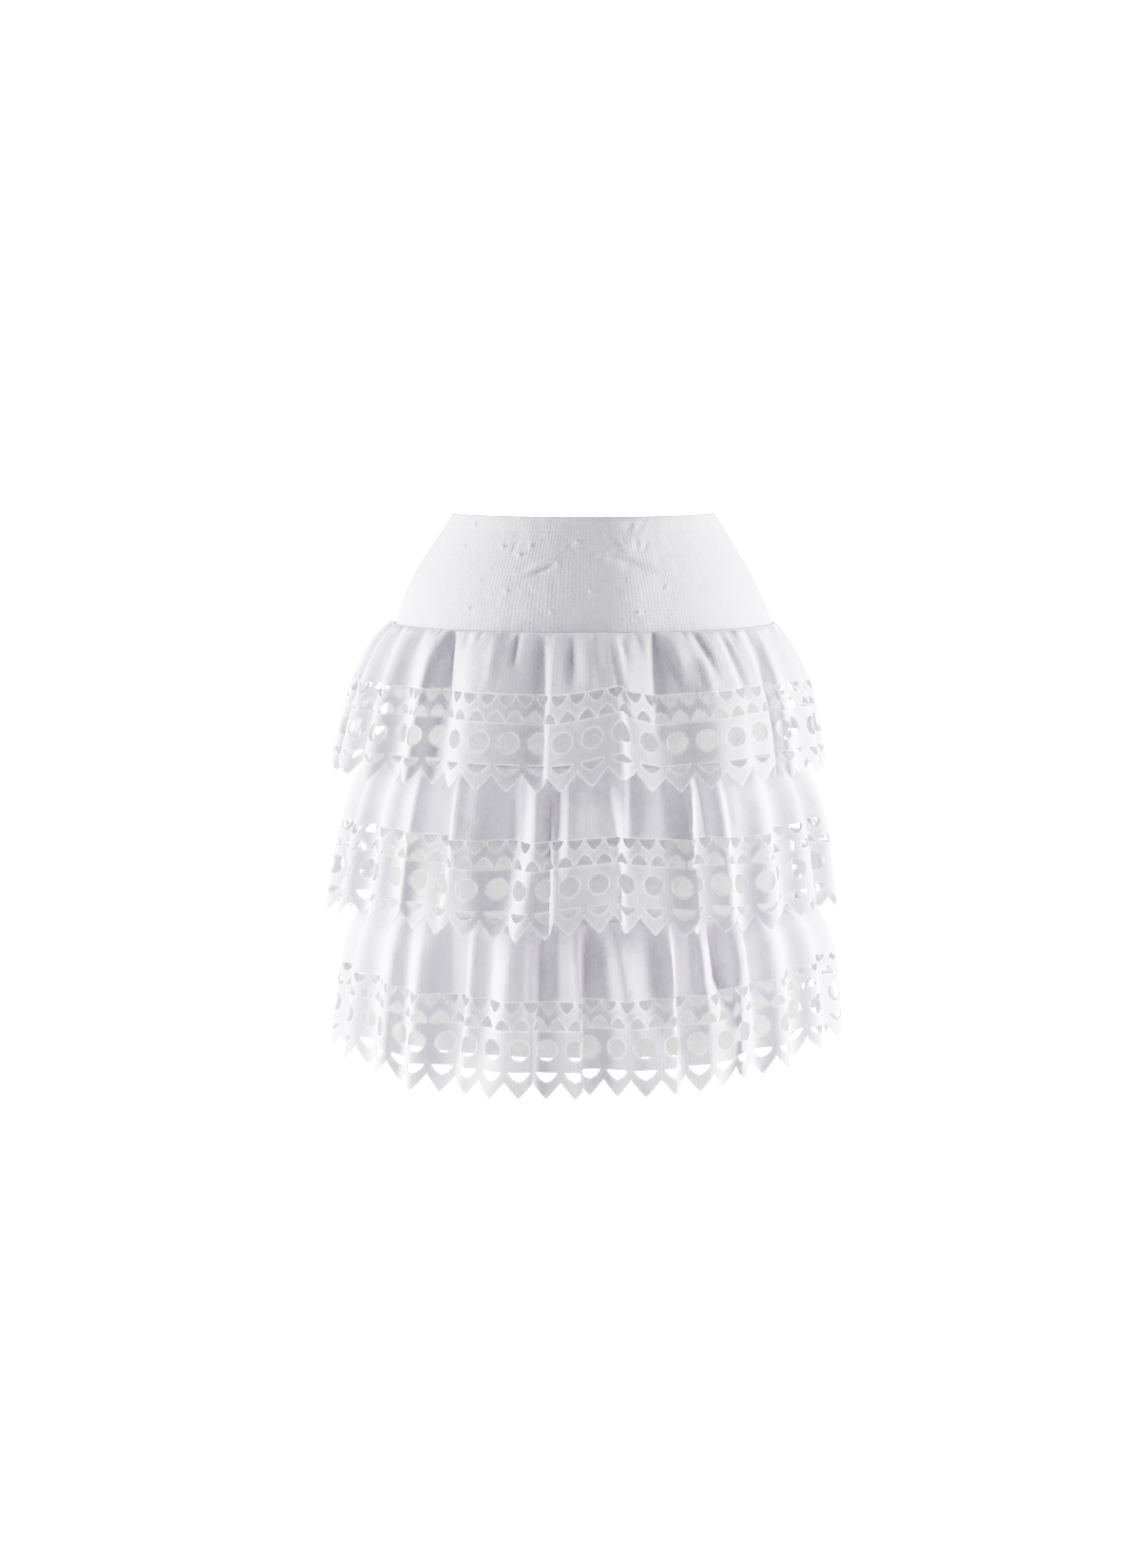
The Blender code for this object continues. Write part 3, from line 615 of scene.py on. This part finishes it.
def tier_mesh(tier):
    flat, faces = repeat_pattern(tier)
    u = np.concatenate([flat[:, 0] + k * REPEAT for k in range(REPEATS)])
    v = np.tile(flat[:, 1], REPEATS)
    faces = np.concatenate([faces + k * len(flat) for k in range(REPEATS)])
    places = Drape(tier).place(u, v)
    mesh = bpy.data.meshes.new(tier)
    mesh.from_pydata(places.tolist(), [], faces.tolist())
    layer = mesh.uv_layers.new(name="cloth")
    corners = np.empty(len(mesh.loops), np.int32)
    mesh.loops.foreach_get("vertex_index", corners)
    down = cut_length(tier, v)
    layer.data.foreach_set("uv", np.stack([u[corners], down[corners]], axis=1).ravel().astype(np.float32))
    # The attribute carries v through the weld, and is then 1 along the cut edges and 0 elsewhere: it is the mask of
    # the highlight and glow painted on the cut edges.
    cut_edge_highlight = mesh.attributes.new("cut_edge_highlight", "FLOAT", "POINT")
    cut_edge_highlight.data.foreach_set("value", v.astype(np.float32))
    welded = bmesh.new()
    welded.from_mesh(mesh)
    bmesh.ops.remove_doubles(welded, verts=welded.verts, dist=WELD)
    bmesh.ops.recalc_face_normals(welded, faces=welded.faces)
    cut = welded.verts.layers.float["cut_edge_highlight"]
    for vertex in welded.verts:
        vertex[cut] = float(vertex.is_boundary and vertex[cut] > PUFF_V)
    welded.faces.ensure_lookup_table()
    face = welded.faces[0]
    if face.normal.xy.dot(face.calc_center_median().xy) < 0:
        bmesh.ops.reverse_faces(welded, faces=welded.faces)
    welded.to_mesh(mesh)
    welded.free()
    return thicken(mesh, TIER_WALL, 0.0)


METRES_TO_A_RADIAN = 0.15  # about, round the yoke and the underskirt
TUBE_ANGLE = math.radians(60)  # an edge sharper than this is shaded as one


def ring_surface(name, angles, rows):
    """A closed tube through rows of points, one row to each ring, with uvs in metres. rows is a list of (points,
    v) and the last row joins the first."""
    count = len(angles)
    points = np.concatenate([row for row, _ in rows])
    faces = []
    uvs = []
    lengths = angles * METRES_TO_A_RADIAN
    for i in range(len(rows)):
        j = (i + 1) % len(rows)
        for k in range(count):
            m = (k + 1) % count
            faces.append((i * count + k, i * count + m, j * count + m, j * count + k))
            left, right = lengths[k], lengths[k] + (lengths[1] - lengths[0])
            uvs.extend(((left, rows[i][1]), (right, rows[i][1]), (right, rows[j][1]), (left, rows[j][1])))
    mesh = bpy.data.meshes.new(name)
    mesh.from_pydata(points.tolist(), [], faces)
    layer = mesh.uv_layers.new(name="cloth")
    layer.data.foreach_set("uv", np.array(uvs, np.float32).ravel())
    fixed = bmesh.new()
    fixed.from_mesh(mesh)
    bmesh.ops.recalc_face_normals(fixed, faces=fixed.faces)
    fixed.to_mesh(mesh)
    fixed.free()
    mesh.shade_smooth()
    mesh.set_sharp_from_angle(angle=TUBE_ANGLE)
    return mesh


# ---------------------------------------------------------------- yoke

YOKE_COLUMNS = 640
YOKE_ROWS = 88
TURNED_EDGE = 13 * MM  # height of the turned strip at the waist
TURNED_EXTRA = 0.4 * MM  # it is thicker by this
TURNED_OUTSIDE = 0.4  # share of the extra that shows outside
STRIP_SOFT = 1.5 * MM  # height over which the extra comes in
STRIP_SOFT_INSIDE = 1.0 * MM
GROOVE_DEPTH = 0.2 * MM  # along the strip's lower edge
GROOVE_HALF = 0.9 * MM
WAIST_ROUND = 1.4 * MM
WAIST_STEPS = 6
RELIEF_FADE = 4 * MM  # below the waist edge

# Soft wrinkles and dents of the yoke's front, as (middle x_mm, middle z_mm, half_length_mm, half_width_mm, turn from
# the horizontal in degrees, height_mm), a depth if below zero. The last two are broad bulges.
WRINKLES = (
    (-37, -46.5, 14, 2.6, 26, -2.6), (-38.5, -42, 13, 2, 26, 1.5), (-24, -40.5, 2.5, 2, 20, 1.4),
    (37, -40, 24, 5.5, -20, -3.8), (23, -19, 10, 1.8, -43, -0.8), (34, -27, 8, 2, -50, 0.6),
    (46, -25, 2.2, 4.5, 8, -1), (53.5, -27.5, 2.4, 4.5, -25, -1), (74, -33, 8, 2.4, -8, -0.7),
    (50, -9, 5, 3, 60, -0.7), (40, -8, 5, 3, 60, -0.6), (-62, -27, 7, 1.6, 60, -0.7), (-12, -26, 9, 1.8, -50, -0.5),
    (0, -8, 34, 5, 0, -0.7), (-20, -70, 40, 14, 30, 0.6), (34, -50, 70, 30, 90, 4),
)
# Small knots in the cloth, as (x_mm, z_mm).
KNOTS = (
    (-99, -9), (-108, -28), (-73, -27), (-48, -26), (-58, -34), (-6, -22), (11, -34), (-70, -66), (6, -65),
    (-104, -82), (-29, -84), (48, -84), (73, -62.5),
)
KNOT_SIZE = 1.4 * MM
KNOT_HEIGHT = 1.7 * MM


def yoke_relief(x, y, z):
    """How far the yoke's cloth stands out at points on it."""
    relief = np.zeros_like(x)
    front = y < 0
    for x_mm, z_mm, length, width, turn, height in WRINKLES:
        along_x, along_z = math.cos(math.radians(turn)), math.sin(math.radians(turn))
        dx, dz = x / MM - x_mm, z / MM - z_mm
        along = (dx * along_x + dz * along_z) / length
        across = (-dx * along_z + dz * along_x) / width
        relief += height * MM * np.exp(-(along**2) - across**2)
    for x_mm, z_mm in KNOTS:
        distance = np.hypot(x - x_mm * MM, z - z_mm * MM) / KNOT_SIZE
        relief += KNOT_HEIGHT * np.exp(-(distance**2))
    return np.where(front, relief, 0)


def yoke_mesh():
    angles = np.arange(YOKE_COLUMNS) * 2 * math.pi / YOKE_COLUMNS
    rows = []

    def ring(height, inward):
        z = height - waist_dip(angles, np.full_like(angles, height))
        x, y, out_x, out_y = body_ring(angles, z)
        strip = np.clip((height + TURNED_EDGE) / STRIP_SOFT, 0, 1)
        out = yoke_relief(x, y, z) * np.clip(-height / RELIEF_FADE, 0, 1)
        groove = GROOVE_DEPTH * math.exp(-(((height + TURNED_EDGE) / GROOVE_HALF) ** 2))
        out = out + strip * TURNED_EXTRA * TURNED_OUTSIDE - groove - inward
        points = np.stack([x + out_x * out, y + out_y * out, z], axis=1)
        rows.append((points, -height))

    heights = np.linspace(-YOKE_HEIGHT, -WAIST_ROUND, YOKE_ROWS)
    for height in heights:
        ring(height, 0.0)
    wall = YOKE_WALL + TURNED_EXTRA
    for turn in np.linspace(0, math.pi, WAIST_STEPS + 1)[1:-1]:
        inward = wall * (1 - math.cos(turn)) / 2
        ring(-WAIST_ROUND + WAIST_ROUND * math.sin(turn), inward)
    for height in heights[::-2]:
        strip = np.clip((height + TURNED_EDGE) / STRIP_SOFT_INSIDE, 0, 1)
        ring(height, YOKE_WALL + TURNED_EXTRA * strip)
    return ring_surface("yoke", angles, rows)


# ---------------------------------------------------------------- underskirt

BASE_COLUMNS = 300
BASE_ROWS = 70
BASE_RIPPLE = 0.6 * MM  # at the hem
RIPPLES_ROUND = (9, 14)  # two waves, laid over each other
RIPPLE_TURN = 2  # radians by which the first turns on the way down
RIPPLE_PHASE = 1.3  # of the second
RIPPLE_SECOND = 0.6  # its height as a share of the first


def base_mesh():
    angles = np.arange(BASE_COLUMNS) * 2 * math.pi / BASE_COLUMNS
    top = -YOKE_HEIGHT - SEAM_GAP
    heights = np.linspace(BASE_HEM_Z, top, BASE_ROWS)
    rows = []
    for heights_in, inward in ((heights, 0.0), (heights[::-1], BASE_WALL)):
        for height in heights_in:
            share = (top - height) / (top - BASE_HEM_Z)
            first = np.sin(RIPPLES_ROUND[0] * angles + RIPPLE_TURN * share)
            second = RIPPLE_SECOND * np.sin(RIPPLES_ROUND[1] * angles + RIPPLE_PHASE)
            ripple = BASE_RIPPLE * share * (first + second - 1 - RIPPLE_SECOND)  # never outside the body
            x, y, out_x, out_y = body_ring(angles, np.full_like(angles, height))
            out = ripple - inward
            points = np.stack([x + out_x * out, y + out_y * out, np.full_like(angles, height)], axis=1)
            rows.append((points, -height))
    return ring_surface("base", angles, rows)


# ---------------------------------------------------------------- cloth materials

WHITE = (0.825, 0.79, 0.875)
BASE_WHITE = (0.79, 0.795, 0.775)
MOTTLE = 0.02  # share by which the colour varies each way
ROUGHNESS = 0.9
GLOSS = 0.25
SHEEN = 0.1
SHEEN_ROUGHNESS = 0.6
WAVE_RADIANS = 20  # of a wave texture to a metre, at scale 1
RIB_WAVER = 1.2  # how far the ribs stray from straight
COURSE_WAVER = 1.5
COURSE_SHARE = 0.6  # height of the courses as a share of the ribs'
FUZZ_SCALE = 420.0
PATCH_SCALE = 38.0
CRUMPLE_SCALE = 70.0
KNIT_STRENGTH = 0.5
EDGE_ROUND = 1.3 * MM  # an edge looks rounded by this
EDGE_SAMPLES = 6
EDGE_HIGHLIGHT_WHITE = (0.96, 0.94, 0.99, 1)  # painted highlight: a cut edge is painted paler than the cloth, where light catches it
EDGE_PAINTED_GLOW = 0.22  # and a painted glow: it gives off a little light, though it is no lamp


def knit(name, colour, stitches_per_metre, stitch_height, crumple_height):
    """A matt knit: fine ribs down the cloth and courses across it, uneven as knitting is, and, where a mesh marks its
    cut edges, a painted highlight and a painted glow along them.
    """
    material = bpy.data.materials.new(name)
    material.use_nodes = True
    nodes = material.node_tree.nodes
    links = material.node_tree.links
    shader = nodes["Principled BSDF"]
    shader.inputs["Roughness"].default_value = ROUGHNESS
    shader.inputs["Specular IOR Level"].default_value = GLOSS
    shader.inputs["Sheen Weight"].default_value = SHEEN
    shader.inputs["Sheen Roughness"].default_value = SHEEN_ROUGHNESS
    coords = nodes.new("ShaderNodeUVMap")
    coords.uv_map = "cloth"

    def texture(kind, scale, **inputs):
        node = nodes.new(kind)
        node.inputs["Scale"].default_value = scale
        for label, value in inputs.items():
            node.inputs[label.replace("_", " ")].default_value = value
        links.new(coords.outputs["UV"], node.inputs["Vector"])
        return node

    def math_node(operation, first, second):
        node = nodes.new("ShaderNodeMath")
        node.operation = operation
        links.new(first, node.inputs[0])
        if isinstance(second, float):
            node.inputs[1].default_value = second
        else:
            links.new(second, node.inputs[1])
        return node.outputs[0]

    wave_scale = stitches_per_metre * 2 * math.pi / WAVE_RADIANS
    ribs = texture("ShaderNodeTexWave", wave_scale, Distortion=RIB_WAVER, Detail=2.0, Detail_Scale=1.5)
    ribs.bands_direction = "X"
    courses = texture("ShaderNodeTexWave", wave_scale, Distortion=COURSE_WAVER)
    courses.bands_direction = "Y"
    fuzz = texture("ShaderNodeTexNoise", FUZZ_SCALE, Detail=3.0)
    patches = texture("ShaderNodeTexNoise", PATCH_SCALE, Detail=2.0)
    crumple = texture("ShaderNodeTexNoise", CRUMPLE_SCALE, Detail=2.0)
    low_courses = math_node("MULTIPLY", courses.outputs["Fac"], COURSE_SHARE)
    stitches = math_node("ADD", ribs.outputs["Fac"], low_courses)
    heights = math_node("ADD", stitches, fuzz.outputs["Fac"])
    rounded = nodes.new("ShaderNodeBevel")
    rounded.samples = EDGE_SAMPLES
    rounded.inputs["Radius"].default_value = EDGE_ROUND
    soft = nodes.new("ShaderNodeBump")
    soft.inputs["Strength"].default_value = 1.0
    soft.inputs["Distance"].default_value = crumple_height
    links.new(rounded.outputs["Normal"], soft.inputs["Normal"])
    links.new(crumple.outputs["Fac"], soft.inputs["Height"])
    bump = nodes.new("ShaderNodeBump")
    bump.inputs["Strength"].default_value = KNIT_STRENGTH
    bump.inputs["Distance"].default_value = stitch_height
    links.new(heights, bump.inputs["Height"])
    links.new(soft.outputs["Normal"], bump.inputs["Normal"])
    links.new(bump.outputs["Normal"], shader.inputs["Normal"])
    tint = nodes.new("ShaderNodeMix")
    tint.data_type = "RGBA"
    tint.inputs["A"].default_value = (*(c * (1 - MOTTLE) for c in colour), 1)
    tint.inputs["B"].default_value = (*(min(c * (1 + MOTTLE), 1) for c in colour), 1)
    links.new(patches.outputs["Fac"], tint.inputs["Factor"])
    # Painted highlight and glow along the cut edges: the colour is painted paler there and the cloth gives off a
    # little light, in place of the light the edges catch.
    cut = nodes.new("ShaderNodeAttribute")
    cut.attribute_name = "cut_edge_highlight"
    painted_highlight = nodes.new("ShaderNodeMix")
    painted_highlight.data_type = "RGBA"
    painted_highlight.inputs["B"].default_value = EDGE_HIGHLIGHT_WHITE
    links.new(cut.outputs["Fac"], painted_highlight.inputs["Factor"])
    links.new(tint.outputs["Result"], painted_highlight.inputs["A"])
    links.new(painted_highlight.outputs["Result"], shader.inputs["Base Color"])
    shader.inputs["Emission Color"].default_value = EDGE_HIGHLIGHT_WHITE
    links.new(math_node("MULTIPLY", cut.outputs["Fac"], EDGE_PAINTED_GLOW), shader.inputs["Emission Strength"])
    return material


# ---------------------------------------------------------------- stage, light and camera

FLOOR_Z = -1.0
FLOOR_SIZE = 30
FLOOR_GREY = (0.5, 0.5, 0.5, 1)  # as the skirt sees it
BACKDROP_GLOW = 20.0  # white in the picture
# Each lamp as (name, place, aim, size, watts).
LAMPS = (
    ("left_box", (-1.6, -0.24, -0.1), (0, -0.05, -0.25), (0.7, 1.5), 48),
    ("right_box", (1.6, -0.24, -0.1), (0, -0.05, -0.25), (0.7, 1.5), 48),
    ("left_rim", (-1.6, 0.1, -0.2), (0, -0.05, -0.25), (0.5, 1.5), 17),
    ("right_rim", (1.6, 0.1, -0.2), (0, -0.05, -0.25), (0.5, 1.5), 17),
    ("table", (0, -0.2, -0.98), (0, -0.2, 0), (2.0, 1.6), 8),
    ("right_low", (0.95, -1.1, -0.9), (0, -0.1, -0.3), (0.7, 0.7), 2.5),
)
FILL = 0.225
FILL_COLOUR = (0.95, 0.96, 1.0, 1)
LENS_MM = 66.94
SENSOR_MM = 36.0
CAMERA_PLACE = (-0.0128, -2.7, 0.13)
CAMERA_DOWN = 8.09  # degrees below the horizontal


def join_by_ray(tree, usual, seen, output):
    """Joins two shaders to the output: seen for the camera's own rays, and usual for all others."""
    ray = tree.nodes.new("ShaderNodeLightPath")
    mix = tree.nodes.new("ShaderNodeMixShader")
    tree.links.new(ray.outputs["Is Camera Ray"], mix.inputs["Fac"])
    tree.links.new(usual, mix.inputs[1])
    tree.links.new(seen, mix.inputs[2])
    tree.links.new(mix.outputs["Shader"], output)


def stage():
    """A white floor, well below the skirt, lit like a studio's light table where the camera looks at it."""
    bpy.ops.mesh.primitive_plane_add(size=FLOOR_SIZE, location=(0, 0, FLOOR_Z))
    floor = bpy.context.object
    floor.name = "floor"
    material = bpy.data.materials.new("floor_white")
    material.use_nodes = True
    nodes = material.node_tree.nodes
    shader = nodes["Principled BSDF"]
    shader.inputs["Base Color"].default_value = FLOOR_GREY
    shader.inputs["Roughness"].default_value = ROUGHNESS
    glow = nodes.new("ShaderNodeEmission")
    glow.inputs["Strength"].default_value = BACKDROP_GLOW
    surface = nodes["Material Output"].inputs["Surface"]
    join_by_ray(material.node_tree, shader.outputs["BSDF"], glow.outputs["Emission"], surface)
    floor.data.materials.append(material)


def lights():
    for name, place, aim, size, watts in LAMPS:
        lamp = bpy.data.lights.new(name, "AREA")
        lamp.shape = "RECTANGLE"
        lamp.size, lamp.size_y = size
        lamp.energy = watts
        thing = bpy.data.objects.new(name, lamp)
        thing.location = place
        thing.rotation_euler = (Vector(aim) - Vector(place)).to_track_quat("-Z", "Y").to_euler()
        bpy.context.scene.collection.objects.link(thing)
    bpy.context.scene.view_settings.look = "AgX - Very High Contrast"
    world = bpy.data.worlds.new("studio")
    bpy.context.scene.world = world
    world.use_nodes = True
    nodes = world.node_tree.nodes
    fill = nodes["Background"]
    fill.inputs["Color"].default_value = FILL_COLOUR
    fill.inputs["Strength"].default_value = FILL
    white = nodes.new("ShaderNodeBackground")
    white.inputs["Strength"].default_value = BACKDROP_GLOW
    white.inputs["Color"].default_value = (1, 1, 1, 1)
    surface = nodes["World Output"].inputs["Surface"]
    join_by_ray(world.node_tree, fill.outputs["Background"], white.outputs["Background"], surface)


def camera():
    lens = bpy.data.cameras.new("camera")
    lens.lens = LENS_MM
    lens.sensor_width = SENSOR_MM
    viewer = bpy.data.objects.new("camera", lens)
    viewer.location = CAMERA_PLACE
    viewer.rotation_euler = (math.radians(90 - CAMERA_DOWN), 0, 0)
    bpy.context.scene.collection.objects.link(viewer)
    bpy.context.scene.camera = viewer


# ---------------------------------------------------------------- the skirt


def main():
    camera()
    stage()
    lights()
    smooth = knit("yoke_knit", WHITE, 310, 0.24 * MM, 1.2 * MM)
    fine = knit("tier_knit", WHITE, 310, 0.13 * MM, 1.2 * MM)
    plain = knit("base_knit", BASE_WHITE, 250, 0.2 * MM, 0.8 * MM)
    yoke = new_piece("yoke_cloth", yoke_mesh(), smooth, ("yoke_front", "yoke_back"))
    base = new_piece("underskirt", base_mesh(), plain, ("base_front", "base_back"))
    for tier in FLARES:
        piece = new_piece(f"{tier}_cloth", tier_mesh(tier), fine, (f"{tier}_front", f"{tier}_back"))


main()
